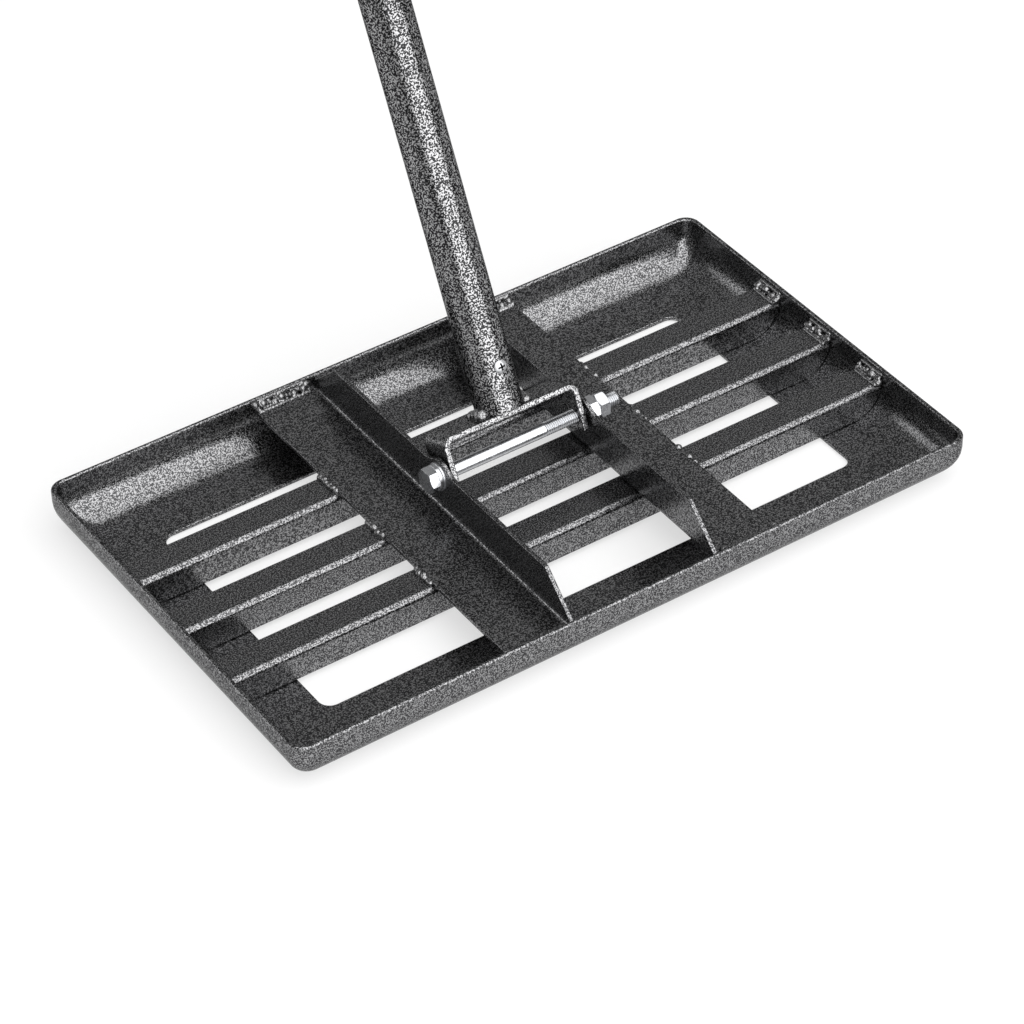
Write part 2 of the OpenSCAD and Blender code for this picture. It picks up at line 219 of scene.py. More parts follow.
for lower, upper in zip(pan_loops, pan_loops[1:] + pan_loops[:1]):
    bmesh.ops.bridge_loops(pan, edges=lower + upper)
bmesh.ops.recalc_face_normals(pan, faces=pan.faces)
add_piece("pressed_pan", pan, pan_coat, "head", "coated_steel", "pan")

# Bars
# Three lengths of sheet folded to an angle, top flange to the back. They stand on edge across the opening,
# and their ends are cut to the curve of the pan's end walls, with a hair of room for the weld.
bar_sheet = 2.5 * mm
bar_bend = 3.5 * mm
bar_edge = 0.35 * mm
bar_foot = 0.9 * mm
weld_room = 1 * mm
first_cut = 3


def only(parts, kind):
    """Those parts of an operator's result that are of one kind."""
    return [part for part in parts if isinstance(part, kind)]


def drawn_bar(bm, outline, way):
    """Draws a flat outline of a few points out along a straight way and returns the closed bar's vertices."""
    corners = [bm.verts.new(point) for point in outline]
    face = bm.faces.new(corners)
    drawn = bmesh.ops.extrude_face_region(bm, geom=[face])
    moved = only(drawn["geom"], bmesh.types.BMVert)
    bmesh.ops.translate(bm, vec=way, verts=moved)
    return corners + moved


def edges_through(bm, point, axis):
    """The straight edges that run along an axis, numbered 0 to 2, through a point."""
    others = [i for i in range(3) if i != axis]
    return [
        edge for edge in bm.edges
        if all(abs(vert.co[i] - point[i]) < 1e-6 for vert in edge.verts for i in others)]


def saw(bm, point, away):
    """Cuts a closed shape on a plane, drops what lies on its far side and closes the cut."""
    whole = bm.verts[:] + bm.edges[:] + bm.faces[:]
    cut = bmesh.ops.bisect_plane(
        bm, geom=whole, dist=1e-7, plane_co=point, plane_no=away, clear_outer=True)
    bmesh.ops.holes_fill(bm, edges=only(cut["geom_cut"], bmesh.types.BMEdge))


def dress_edges(piece, width):
    """Takes the sharpness off a piece's edges and keeps its flat faces flat."""
    bevel = piece.modifiers.new("dressed_edges", "BEVEL")
    bevel.width = width
    bevel.segments = 2
    bevel.limit_method = "ANGLE"
    bevel.angle_limit = math.radians(38)
    piece.modifiers.new("flat_faces", "WEIGHTED_NORMAL")


for node in ("bar_front", "bar_middle", "bar_back"):
    low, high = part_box(node)
    bar = bmesh.new()
    section = [
        (-pan_high.x, low.y, low.z), (-pan_high.x, low.y + bar_sheet, low.z),
        (-pan_high.x, low.y + bar_sheet, high.z - bar_sheet), (-pan_high.x, high.y, high.z - bar_sheet),
        (-pan_high.x, high.y, high.z), (-pan_high.x, low.y, high.z)]
    drawn_bar(bar, section, (2 * pan_high.x, 0, 0))
    for corner, radius in (
            (section[5], bar_bend), (section[2], bar_bend - bar_sheet), (section[0], bar_foot)):
        bmesh.ops.bevel(
            bar, geom=edges_through(bar, corner, 0), offset=radius, segments=6, profile=0.5, affect="EDGES",
            material=-1)
    for side in (-1, 1):
        centre = Vector((side * (pan_high.x - wall_bend - weld_room), 0, wall_bend))
        for a in quarter(bend_steps)[first_cut:]:
            away = Vector((side * math.sin(a), 0, -math.cos(a)))
            saw(bar, centre + inner_bend * away, away)
    bmesh.ops.recalc_face_normals(bar, faces=bar.faces)
    piece = add_piece("folded_" + node, bar, pan_coat, "head", "coated_steel", node)
    dress_edges(piece, bar_edge)

# Cross-members
# Two sheets folded to an angle: the flange lies on the bars, the upright stands towards the middle with its
# ends sloped off, and an ear on its top edge holds the pivot bolt.
member_sheet = 2.5 * mm
member_bend = 4.5 * mm
upright_setback = 24 * mm
upright_height = 27.5 * mm
ear_radius = 10 * mm
ear_blend = 15 * mm
pivot = Vector(frame["joints"][0]["pos_m"])
pivot_hole = 4.25 * mm
member_edge = 0.45 * mm


def ring_edges(bm, segments, radius, place):
    """Lays a ring of edges at its place and returns them, always in the same order."""
    ring = bmesh.ops.create_circle(bm, segments=segments, radius=radius, matrix=place)
    return list(dict.fromkeys(edge for vert in ring["verts"] for edge in vert.link_edges))


def pierced_face(bm, outline, holes):
    """Fills a flat outline of edges, leaving its round holes open."""
    rims = list(outline)
    for centre, radius in holes:
        across = Matrix.Translation(centre) @ Matrix.Rotation(math.pi / 2, 4, "Y")
        rims += ring_edges(bm, 32, radius, across)
    bmesh.ops.triangle_fill(bm, use_beauty=True, edges=rims)


def give_thickness(piece, sheet):
    """Gives a skin its sheet thickness, inwards from the face that was drawn."""
    wall = piece.modifiers.new("sheet", "SOLIDIFY")
    wall.thickness = sheet
    wall.offset = -1
    wall.use_even_offset = True


for node, side in (("cross_member_left", -1), ("cross_member_right", 1)):
    low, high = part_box(node)
    inner = max(low.x, high.x, key=lambda x: -side * x)
    outer = max(low.x, high.x, key=lambda x: side * x)
    bend_start = inner + side * member_bend
    top = low.z + upright_height
    member = bmesh.new()
    flange = [
        member.verts.new(point) for point in (
            (outer, low.y, low.z), (outer, high.y, low.z), (bend_start, high.y, low.z),
            (bend_start, low.y, low.z))]
    under = member.faces.new(flange)
    fold = member.edges.get(flange[2:])
    turned = bmesh.ops.spin(
        member, geom=flange[2:] + [fold], cent=(bend_start, 0, low.z + member_bend), axis=(0, 1, 0),
        angle=side * math.pi / 2, steps=6)
    foot = only(turned["geom_last"], bmesh.types.BMVert)
    foot.sort(key=lambda vert: vert.co.y)
    rise = top - pivot.z
    lean = Vector((math.sqrt((ear_radius + ear_blend) ** 2 - (rise + ear_blend) ** 2), rise + ear_blend))
    lean.normalize()
    touch = ear_radius * lean
    ear_foot = touch.x + (touch.y - rise) * lean.y / lean.x
    ear_tip = touch.y + touch.x * lean.x / lean.y
    crest = [
        member.verts.new((inner, y, z)) for y, z in (
            (high.y - upright_setback, top), (pivot.y + ear_foot, top), (pivot.y, pivot.z + ear_tip),
            (pivot.y - ear_foot, top), (low.y + upright_setback, top))]
    member.faces.new([foot[0], foot[1], *crest])
    ear_top = ([crest[2]], touch.x / lean.y)
    ear_sides = ([crest[1], crest[3]], (ear_foot - touch.x) / lean.y)
    for corners, round_off in (ear_top, ear_sides):
        bmesh.ops.bevel(
            member, geom=corners, offset=round_off, segments=10, profile=0.5, affect="VERTICES",
            material=-1)
    upright = max(member.faces, key=lambda face: len(face.verts))
    outline = list(upright.edges)
    member.faces.remove(upright)
    pierced_face(member, outline, [((inner, pivot.y, pivot.z), pivot_hole)])
    bmesh.ops.recalc_face_normals(member, faces=member.faces)
    if under.normal.z > 0:
        bmesh.ops.reverse_faces(member, faces=member.faces)
    piece = add_piece("folded_" + node, member, pan_coat, "head", "coated_steel", node)
    give_thickness(piece, member_sheet)
    dress_edges(piece, member_edge)

# Welds
# Short beads run by hand before coating: on each bar's ends, where the flanges cross the bars, and where the
# flanges meet the front and back walls. Each is a row of overlapping puddles.
toe_share = 0.26
toe_pitch = 0.5 * mm
toe_wander = 0.07
puddle_share = 0.44
puddle_pitch = 2.6 * mm
puddle_wander = 0.3
middle_share = 0.36
lump_share = 0.42
lump_wander = 0.35
lump_reach = 0.7
lump_set = 0.15
end_legs = {-1: 3.4 * mm, 1: 4.6 * mm}
end_rise = 5 * mm
end_front_gap = 1.5 * mm
end_back_gap = 1 * mm
crossing_radius = 2.1 * mm
crossing_puddles = 9
crossing_lift = 0.6 * mm
flange_leg = 4.8 * mm
flange_rise = 4.4 * mm
flange_inner_gap = 7 * mm
flange_outer_gap = 1 * mm
weld_grain = 0.4 * mm
crossing_grain = 0.35 * mm
weld_coat = vein_coat(
    "weld_coat", vein_scale=1350, vein_level=0.53, softness=0.1, ground=(0.13, 0.13, 0.132),
    silver=(0.36, 0.36, 0.365), relief=0.05, edge=0.6)


def weld_bead(bm, start, end, radius, puddles, seed, wander=0.22):
    """A row of overlapping puddles from start to end, each a little different from the last."""
    for i in range(puddles):
        share = (i + 0.5) / puddles
        swell = 1 + wander * math.sin(seed * 3.7 + i * 2.4)
        drift = Vector((math.sin(seed + i * 1.9), math.cos(seed * 2 + i * 2.9), math.sin(seed * 5 + i * 1.3)))
        spot = start.lerp(end, share) + wander * radius * drift
        bmesh.ops.create_icosphere(
            bm, subdivisions=2, radius=radius * swell, matrix=Matrix.Translation(spot))


def fillet_weld(bm, start, end, out, up, seed):
    """A fillet weaved between two plates: a row along each toe, a fuller one between, lumps at its ends."""
    run = (end - start).length
    drops = round(run / toe_pitch)
    weld_bead(bm, start + out, end + out, toe_share * out.length, drops, seed, toe_wander)
    weld_bead(bm, start + up, end + up, toe_share * up.length, drops, seed + 1, toe_wander)
    middle = middle_share * (out + up)
    puddles = round(run / puddle_pitch)
    weld_bead(
        bm, start + middle, end + middle, puddle_share * out.length, puddles, seed + 2, puddle_wander)
    for tip in (start, end):
        low_lump = tip + lump_reach * out
        high_lump = tip + lump_set * out + lump_reach * up
        weld_bead(bm, low_lump, high_lump, lump_share * out.length, 3, seed + 3, lump_wander)


def melt(piece, grain):
    """Melts the separate puddles of a weld into one skin."""
    skin = piece.modifiers.new("melted", "REMESH")
    skin.mode = "VOXEL"
    skin.voxel_size = grain
    skin.use_smooth_shade = True
    soften = piece.modifiers.new("softened", "SMOOTH")
    soften.iterations = 2


bar_boxes = [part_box(node) for node in ("bar_front", "bar_middle", "bar_back")]
end_welds = bmesh.new()
for i, (low, high) in enumerate(bar_boxes):
    for side in (-1, 1):
        wall = side * (pan_high.x - pan_sheet)
        start = Vector((wall, low.y + end_front_gap, high.z))
        end = Vector((wall, high.y - end_back_gap, high.z))
        out = Vector((-side * end_legs[side], 0, 0))
        fillet_weld(end_welds, start, end, out, Vector((0, 0, end_rise)), i + 4 * side)
piece = add_piece("bar_end_beads", end_welds, weld_coat, "head", "coated_steel", "bar_end_welds")
melt(piece, weld_grain)

crossing_welds = bmesh.new()
for i, (low, high) in enumerate(bar_boxes):
    for node, side in (("cross_member_left", -1), ("cross_member_right", 1)):
        edge = max(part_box(node)[0].x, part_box(node)[1].x, key=lambda x: side * x)
        spot = Vector((edge, low.y + bar_bend, high.z + crossing_lift))
        across = Vector((0, high.y - low.y - bar_bend, 0))
        weld_bead(
            crossing_welds, spot, spot + across, crossing_radius, crossing_puddles, i + 7 * side)
piece = add_piece("crossing_beads", crossing_welds, weld_coat, "head", "coated_steel", "bar_crossing_welds")
melt(piece, crossing_grain)

flange_welds = bmesh.new()
for node, side in (("cross_member_left", -1), ("cross_member_right", 1)):
    low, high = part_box(node)
    inner = max(low.x, high.x, key=lambda x: -side * x) + side * flange_inner_gap
    outer = max(low.x, high.x, key=lambda x: side * x) - side * flange_outer_gap
    for back in (-1, 1):
        wall = back * (pan_high.y - pan_sheet)
        start = Vector((inner, wall, low.z + member_sheet))
        end = Vector((outer, wall, start.z))
        out = Vector((0, -back * flange_leg, 0))
        fillet_weld(flange_welds, start, end, out, Vector((0, 0, flange_rise)), 3 * side + back)
piece = add_piece("flange_beads", flange_welds, weld_coat, "head", "coated_steel", "cross_member_welds")
melt(piece, weld_grain)

# Pivot bolt
# A zinc-plated hexagon bolt through both ears: spring washer and plain washer under its head, two nuts
# locked against each other on its far end, and the last of the thread standing out.
bolt_radius = 4 * mm
thread_root = 3.4 * mm
thread_pitch = 1.25 * mm
thread_start = 20 * mm
hex_flats = 13 * mm
head_height = 5.3 * mm
shank_root = 1 * mm
thread_lead = 0.2 * mm
nut_turns = (("pivot_nut", 0), ("lock_nut", 22))
nut_play = 0.05 * mm
washer_play = 0.15 * mm
hex_edge = 0.15 * mm
washer_edge = 0.25 * mm
coil_gap = 1 * mm
chamfer_cuts = 36
chamfer_share = 0.97
chamfer_slope = math.radians(30)


def bright_zinc(name, tint, roughness):
    """Bright zinc plate: clouded metal with fine drawing marks."""
    material = bpy.data.materials.new(name)
    material.use_nodes = True
    nodes = material.node_tree.nodes
    links = material.node_tree.links
    shader = nodes["Principled BSDF"]
    shader.inputs["Metallic"].default_value = 1
    place = nodes.new("ShaderNodeTexCoord")
    cloud = nodes.new("ShaderNodeTexNoise")
    cloud.inputs["Scale"].default_value = 260
    cloud.inputs["Detail"].default_value = 4
    links.new(place.outputs["Object"], cloud.inputs["Vector"])
    colour = nodes.new("ShaderNodeMix")
    colour.data_type = "RGBA"
    colour.inputs["A"].default_value = (*(0.75 * c for c in tint), 1)
    colour.inputs["B"].default_value = (*tint, 1)
    links.new(cloud.outputs["Fac"], colour.inputs["Factor"])
    links.new(colour.outputs["Result"], shader.inputs["Base Color"])
    dull = nodes.new("ShaderNodeMapRange")
    dull.inputs["To Min"].default_value = roughness * 0.7
    dull.inputs["To Max"].default_value = roughness * 1.3
    links.new(cloud.outputs["Fac"], dull.inputs["Value"])
    links.new(dull.outputs["Result"], shader.inputs["Roughness"])
    bump = nodes.new("ShaderNodeBump")
    bump.inputs["Strength"].default_value = 0.08
    bump.inputs["Distance"].default_value = 0.5 * mm
    links.new(cloud.outputs["Fac"], bump.inputs["Height"])
    links.new(bump.outputs["Normal"], shader.inputs["Normal"])
    return material


zinc = bright_zinc("bright_zinc", (0.7, 0.71, 0.73), 0.28)


def on_pivot(x):
    """Places a turned piece on the pivot: its own +Z then runs along +X from x."""
    return Matrix.Translation((x, pivot.y, pivot.z)) @ Matrix.Rotation(math.pi / 2, 4, "Y")


def ring_of_planes(bm, radius, height, slope, up):
    """Chamfers an end all round, as a lathe would, with many small flat cuts."""
    for i in range(chamfer_cuts):
        a = 2 * math.pi * i / chamfer_cuts
        away = Vector((math.cos(a) * math.sin(slope), math.sin(a) * math.sin(slope), up * math.cos(slope)))
        saw(bm, Vector((radius * math.cos(a), radius * math.sin(a), height)), away)


def hexagon(bm, height, bore, turn):
    """A hexagon nut on the origin, or a bolt's head where there is no bore, with chamfered corners."""
    corners = hex_flats / 2 / math.cos(math.pi / 6)
    rims = ring_edges(bm, 6, corners, Matrix.Rotation(turn, 4, "Z"))
    if bore:
        rims += ring_edges(bm, 32, bore, Matrix())
    filled = bmesh.ops.triangle_fill(bm, use_beauty=True, edges=rims)
    drawn = bmesh.ops.extrude_face_region(bm, geom=only(filled["geom"], bmesh.types.BMFace))
    moved = only(drawn["geom"], bmesh.types.BMVert)
    bmesh.ops.translate(bm, vec=(0, 0, height), verts=moved)
    bmesh.ops.recalc_face_normals(bm, faces=bm.faces)
    chamfer_radius = hex_flats / 2 * chamfer_share
    ring_of_planes(bm, chamfer_radius, height, chamfer_slope, 1)
    if bore:
        ring_of_planes(bm, chamfer_radius, 0, chamfer_slope, -1)


def turned_piece(bm, profile, closed):
    """Spins a profile of (radius, height) points once round the Z axis."""
    points = [bm.verts.new((radius, 0, height)) for radius, height in profile]
    pairs = list(zip(points, points[1:] + points[:1])) if closed else list(zip(points, points[1:]))
    lines = [bm.edges.new(pair) for pair in pairs]
    bmesh.ops.spin(
        bm, geom=points + lines, cent=(0, 0, 0), axis=(0, 0, 1), angle=2 * math.pi, steps=64, use_merge=True)
    bmesh.ops.remove_doubles(bm, verts=bm.verts, dist=1e-7)
    bmesh.ops.recalc_face_normals(bm, faces=bm.faces)


def add_to(whole, part, place):
    """Moves a finished part to its place and adds it to a piece made of several."""
    bmesh.ops.transform(part, matrix=place, verts=part.verts)
    mesh = bpy.data.meshes.new("part")
    part.to_mesh(mesh)
    part.free()
    whole.from_mesh(mesh)
    bpy.data.meshes.remove(mesh)


bolt_low, bolt_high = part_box("pivot_bolt")
head_seat = bolt_low.x + head_height
bolt = bmesh.new()
head = bmesh.new()
hexagon(head, head_height, 0, 0)
add_to(bolt, head, on_pivot(head_seat) @ Matrix.Rotation(math.pi, 4, "X"))
shank = bmesh.new()
shank_end = thread_start - head_seat
turned_piece(
    shank, ((0, -shank_root), (bolt_radius, -shank_root), (bolt_radius, shank_end), (0, shank_end)), False)
add_to(bolt, shank, on_pivot(head_seat))
thread = bmesh.new()
thread_length = bolt_high.x - thread_start
profile = ((thread_root, 0), (bolt_radius, 0.4), (bolt_radius, 0.6), (thread_root, 1))
points = [thread.verts.new((radius, 0, (z - 1.5) * thread_pitch)) for radius, z in profile]
lines = [thread.edges.new(pair) for pair in zip(points, points[1:])]
steps = 32
turns = math.ceil(thread_length / thread_pitch) + 3
bmesh.ops.spin(
    thread, geom=points + lines, cent=(0, 0, 0), axis=(0, 0, 1), dvec=(0, 0, thread_pitch / steps),
    angle=2 * math.pi * turns, steps=steps * turns)
bmesh.ops.remove_doubles(thread, verts=thread.verts, dist=0.01 * mm)
bmesh.ops.recalc_face_normals(thread, faces=thread.faces)
saw(thread, Vector((0, 0, 0)), Vector((0, 0, -1)))
saw(thread, Vector((0, 0, thread_length)), Vector((0, 0, 1)))
ring_of_planes(thread, thread_root - thread_lead, thread_length, math.radians(45), 1)
bmesh.ops.recalc_face_normals(thread, faces=thread.faces)
add_to(bolt, thread, on_pivot(thread_start))
piece = add_piece("threaded_bolt", bolt, zinc, "head", "zinc_steel", "pivot_bolt")
dress_edges(piece, hex_edge)

for node, turn in nut_turns:
    nut = bmesh.new()
    low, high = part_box(node)
    hexagon(nut, high.x - low.x, bolt_radius + nut_play, math.radians(turn))
    bmesh.ops.transform(nut, matrix=on_pivot(low.x), verts=nut.verts)
    piece = add_piece("chamfered_" + node, nut, zinc, "head", "zinc_steel", node)
    dress_edges(piece, hex_edge)

low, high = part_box("plain_washer")
washer = bmesh.new()
washer_bore = bolt_radius + washer_play
washer_rim = (high.z - low.z) / 2
washer_sheet = high.x - low.x
turned_piece(
    washer, ((washer_bore, 0), (washer_rim, 0), (washer_rim, washer_sheet), (washer_bore, washer_sheet)),
    True)
bmesh.ops.transform(washer, matrix=on_pivot(low.x), verts=washer.verts)
piece = add_piece("stamped_washer", washer, zinc, "head", "zinc_steel", "plain_washer")
dress_edges(piece, washer_edge)

low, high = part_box("spring_washer")
coil = bmesh.new()
coil_rim = (high.z - low.z) / 2
slit = coil_gap / coil_rim
section = [
    coil.verts.new((radius, 0, z)) for radius, z in (
        (washer_bore, 0), (coil_rim, 0), (coil_rim, high.x - low.x), (washer_bore, high.x - low.x))]
bmesh.ops.rotate(coil, verts=section, cent=(0, 0, 0), matrix=Matrix.Rotation(slit / 2, 3, "Z"))
wire = coil.faces.new(section)
bmesh.ops.spin(
    coil, geom=[wire], cent=(0, 0, 0), axis=(0, 0, 1), angle=2 * math.pi - slit, steps=56)
bmesh.ops.recalc_face_normals(coil, faces=coil.faces)
bmesh.ops.transform(coil, matrix=on_pivot(low.x), verts=coil.verts)
piece = add_piece("split_washer", coil, zinc, "head", "zinc_steel", "spring_washer")
dress_edges(piece, washer_edge)

# Yoke
# Flat bar bent twice to a U that stands over the bolt upside down: its legs turn on the bolt between the
# uprights and its web carries the handle.
handle_lean = math.radians(26)
handle_offset = 3.5 * mm
yoke_span = 87.5 * mm
yoke_bar = 22 * mm
yoke_thickness = 3.5 * mm
yoke_bend = 6 * mm
web_height = 20 * mm
leg_drop = 8 * mm
yoke_bore = 4.05 * mm
yoke_edge = 0.7 * mm
on_handle = Matrix.Translation(pivot) @ Matrix.Rotation(-handle_lean, 4, "X")
yoke_coat = vein_coat(
    "yoke_coat", vein_scale=1350, vein_level=0.51, softness=0.08, ground=(0.05, 0.05, 0.052),
    silver=(0.42, 0.42, 0.425), relief=0.06, edge=0.2)

yoke = bmesh.new()
front = handle_offset - yoke_bar / 2
back = handle_offset + yoke_bar / 2
bend_height = web_height - yoke_bend
left_leg = [
    yoke.verts.new((-yoke_span / 2, y, z)) for y, z in (
        (front, bend_height), (back, bend_height), (back, -leg_drop), (front, -leg_drop))]
left_edges = [yoke.edges.new(pair) for pair in zip(left_leg, left_leg[1:] + left_leg[:1])]
bent = bmesh.ops.spin(
    yoke, geom=left_leg[:2] + [left_edges[0]], cent=(yoke_bend - yoke_span / 2, 0, bend_height),
    axis=(0, 1, 0), angle=math.pi / 2, steps=8)
web = bmesh.ops.extrude_edge_only(yoke, edges=only(bent["geom_last"], bmesh.types.BMEdge))
web_verts = only(web["geom"], bmesh.types.BMVert)
web_edge = [
    edge for edge in only(web["geom"], bmesh.types.BMEdge)
    if all(vert in web_verts for vert in edge.verts)]
bmesh.ops.translate(yoke, vec=(yoke_span - 2 * yoke_bend, 0, 0), verts=web_verts)
bent = bmesh.ops.spin(
    yoke, geom=web_verts + web_edge, cent=(yoke_span / 2 - yoke_bend, 0, bend_height), axis=(0, 1, 0),
    angle=math.pi / 2, steps=8)
knee = only(bent["geom_last"], bmesh.types.BMVert)
knee.sort(key=lambda vert: vert.co.y)
toes = [yoke.verts.new((yoke_span / 2, y, -leg_drop)) for y in (back, front)]
loop = [*knee, *toes]
right_edges = [yoke.edges.get(pair) or yoke.edges.new(pair) for pair in zip(loop, loop[1:] + loop[:1])]
for edges, x in ((left_edges, -yoke_span / 2), (right_edges, yoke_span / 2)):
    pierced_face(yoke, edges, [((x, 0, 0), yoke_bore)])
bmesh.ops.recalc_face_normals(yoke, faces=yoke.faces)
top_face = max(yoke.faces, key=lambda face: face.calc_center_median().z)
if top_face.normal.z < 0:
    bmesh.ops.reverse_faces(yoke, faces=yoke.faces)
bmesh.ops.transform(yoke, matrix=on_handle, verts=yoke.verts)
piece = add_piece("bent_yoke", yoke, yoke_coat, "handle", "coated_steel", "yoke")
give_thickness(piece, yoke_thickness)
dress_edges(piece, yoke_edge)

# Handle
# Three lengths of steel tube in line. The lowest slips over a short socket that is welded on the yoke, and an
# inner tube joins each pair. The socket and inner tubes are hidden, and keep their solids.
tube_radius = 13.5 * mm
tube_wall = 1 * mm
section_length = 480 * mm
tube_edge = 0.3 * mm
on_tube = on_handle @ Matrix.Translation((0, handle_offset, web_height))
handle_coat = vein_coat(
    "handle_coat", vein_scale=1150, vein_level=0.54, softness=0.06, ground=(0.02, 0.02, 0.021),
    silver=(0.36, 0.36, 0.365), relief=0.12, edge=0.3)
for i, node in enumerate(("handle_lower", "handle_middle", "handle_upper")):
    tube = bmesh.new()
    bottom = i * section_length
    top = bottom + section_length
    turned_piece(
        tube, ((tube_radius, bottom), (tube_radius, top), (tube_radius - tube_wall, top),
               (tube_radius - tube_wall, bottom)), True)
    bmesh.ops.transform(tube, matrix=on_tube, verts=tube.verts)
    piece = add_piece("drawn_" + node, tube, handle_coat, "handle", "coated_steel", node)
    dress_edges(piece, tube_edge)
for node in ("handle_socket", "spigot_lower", "spigot_upper"):
    for holder in frame["nodes"][node].material_slots:
        holder.material = handle_coat

# Socket welds
# Two dabs at the foot of the socket, one on each side, that hold it on the web of the yoke.
dab_radius = 4.2 * mm
dab_puddles = 4
dab_rise = 0.6 * mm
dab_reach = Vector((0, 5 * mm, 0))
dabs = bmesh.new()
for side in (-1, 1):
    foot = Vector((side * tube_radius, 0, dab_rise))
    weld_bead(dabs, foot - dab_reach, foot + dab_reach, dab_radius, dab_puddles, side)
bmesh.ops.transform(dabs, matrix=on_tube, verts=dabs.verts)
piece = add_piece("socket_dabs", dabs, weld_coat, "handle", "coated_steel", "socket_welds")
melt(piece, weld_grain)

# Handle screws
# Five zinc-plated pan-head screws with a cross recess, one at the socket and two at each joint, all driven
# in from the front of the tube. The recess is coloured near-black: painted shade.
screw_radius = 2 * mm
screw_length = 8 * mm
screw_head = 3.7 * mm
screw_rim = 0.84 * mm
screw_dome = 1.56 * mm
recess_width = 1.1 * mm
recess_depth = 2 * mm
recess_reach = 2.2 * mm
socket_screw = 25.5 * mm
joint_screw = 27 * mm
screw_edge = 0.12 * mm
first_turn = 3
turn_per_metre = 500
slack = 1.01
near = 0.01 * mm


def carved(solid, cutter):
    """Takes the cutter's shape out of a solid and returns what is left."""
    made = []
    for bm in (solid, cutter):
        mesh = bpy.data.meshes.new("carving")
        bm.to_mesh(mesh)
        bm.free()
        made.append(bpy.data.objects.new("carving", mesh))
        bpy.context.scene.collection.objects.link(made[-1])
    cut = made[0].modifiers.new("cut", "BOOLEAN")
    cut.operation = "DIFFERENCE"
    cut.object = made[1]
    cut.solver = "EXACT"
    left = bmesh.new()
    left.from_object(made[0], bpy.context.evaluated_depsgraph_get())
    for obj in made:
        bpy.data.meshes.remove(obj.data)
    return left


head_ball = (screw_head ** 2 + screw_dome ** 2) / (2 * screw_dome)
dome = [
    (head_ball * math.sin(a), screw_rim + screw_dome - head_ball * (1 - math.cos(a)))
    for a in (math.asin(screw_head / head_ball) * i / 8 for i in range(8, -1, -1))]
screw = bmesh.new()
below_dome = ((0, -screw_length), (screw_radius, -screw_length), (screw_radius, 0), (screw_head, 0))
turned_piece(screw, (*below_dome, *dome), False)
cross = bmesh.new()
recess_floor = screw_rim + screw_dome - recess_depth
w = recess_width / 2
r = recess_reach
plus = (
    (r, -w), (r, w), (w, w), (w, r), (-w, r), (-w, w),
    (-r, w), (-r, -w), (-w, -w), (-w, -r), (w, -r), (w, -w))
drawn_bar(cross, [(x, y, recess_floor) for x, y in plus], (0, 0, 2 * recess_depth))
bmesh.ops.recalc_face_normals(cross, faces=cross.faces)
screw = carved(screw, cross)
# The walls and floor of the cross recess get the second material, a near-black zinc that is painted shade
# inside the recess.
for face in screw.faces:
    spot = face.calc_center_median()
    lesser, greater = sorted((abs(spot.x), abs(spot.y)))
    inside = greater < slack * r and lesser < slack * w and spot.z > recess_floor - near
    steep = abs(face.normal.z) < 0.1
    if inside and (steep or spot.z < recess_floor + near):
        face.material_index = 1
screw_mesh = bpy.data.meshes.new("screw")
screw.to_mesh(screw_mesh)
screw.free()
screws = bmesh.new()
for height in (socket_screw, *(i * section_length + side * joint_screw for i in (1, 2) for side in (-1, 1))):
    one = bmesh.new()
    one.from_mesh(screw_mesh)
    seat = on_tube @ Matrix.Translation((0, -tube_radius, height)) @ Matrix.Rotation(math.pi / 2, 4, "X")
    driven = math.radians(first_turn + turn_per_metre * (height - socket_screw))
    add_to(screws, one, seat @ Matrix.Rotation(driven, 4, "Z"))
bpy.data.meshes.remove(screw_mesh)
screw_zinc = bright_zinc("screw_zinc", (0.82, 0.83, 0.85), 0.45)
piece = add_piece("cross_recess_screws", screws, screw_zinc, "handle", "zinc_steel", "handle_screws")
# Second material: near-black zinc for the cross recess, painted shade.
piece.data.materials.append(bright_zinc("painted_shade_recess", (0.06, 0.06, 0.062), 0.5))
dress_edges(piece, screw_edge)

# Grip and end plug
# A ribbed rubber sleeve pushed over the top of the handle, and a rubber plug that closes the tube.
grip_length = 140 * mm
grip_radius = 16.5 * mm
rib_pitch = 7 * mm
rib_depth = 0.9 * mm
groove_top = 1.4 * mm
groove_floor = 0.7 * mm
grip_play = 0.15 * mm
grip_edge = 0.3 * mm
plug_depth = 22 * mm
plug_radius = 12.35 * mm
plug_head = 5 * mm
plug_rim = 2 * mm
plug_edge = 0.6 * mm
handle_length = 3 * section_length


def matt_rubber(name, colour):
    """Moulded rubber: matt, slightly uneven, with a fine pebble."""
    material = bpy.data.materials.new(name)
    material.use_nodes = True
    nodes = material.node_tree.nodes
    links = material.node_tree.links
    shader = nodes["Principled BSDF"]
    place = nodes.new("ShaderNodeTexCoord")
    pebble = nodes.new("ShaderNodeTexNoise")
    pebble.inputs["Scale"].default_value = 1400
    pebble.inputs["Detail"].default_value = 3
    links.new(place.outputs["Object"], pebble.inputs["Vector"])
    tint = nodes.new("ShaderNodeMix")
    tint.data_type = "RGBA"
    tint.inputs["A"].default_value = (*(0.7 * c for c in colour), 1)
    tint.inputs["B"].default_value = (*(1.3 * c for c in colour), 1)
    links.new(pebble.outputs["Fac"], tint.inputs["Factor"])
    links.new(tint.outputs["Result"], shader.inputs["Base Color"])
    rough = nodes.new("ShaderNodeMapRange")
    rough.inputs["To Min"].default_value = 0.6
    rough.inputs["To Max"].default_value = 0.85
    links.new(pebble.outputs["Fac"], rough.inputs["Value"])
    links.new(rough.outputs["Result"], shader.inputs["Roughness"])
    bump = nodes.new("ShaderNodeBump")
    bump.inputs["Strength"].default_value = 0.25
    bump.inputs["Distance"].default_value = 0.4 * mm
    links.new(pebble.outputs["Fac"], bump.inputs["Height"])
    links.new(bump.outputs["Normal"], shader.inputs["Normal"])
    return material


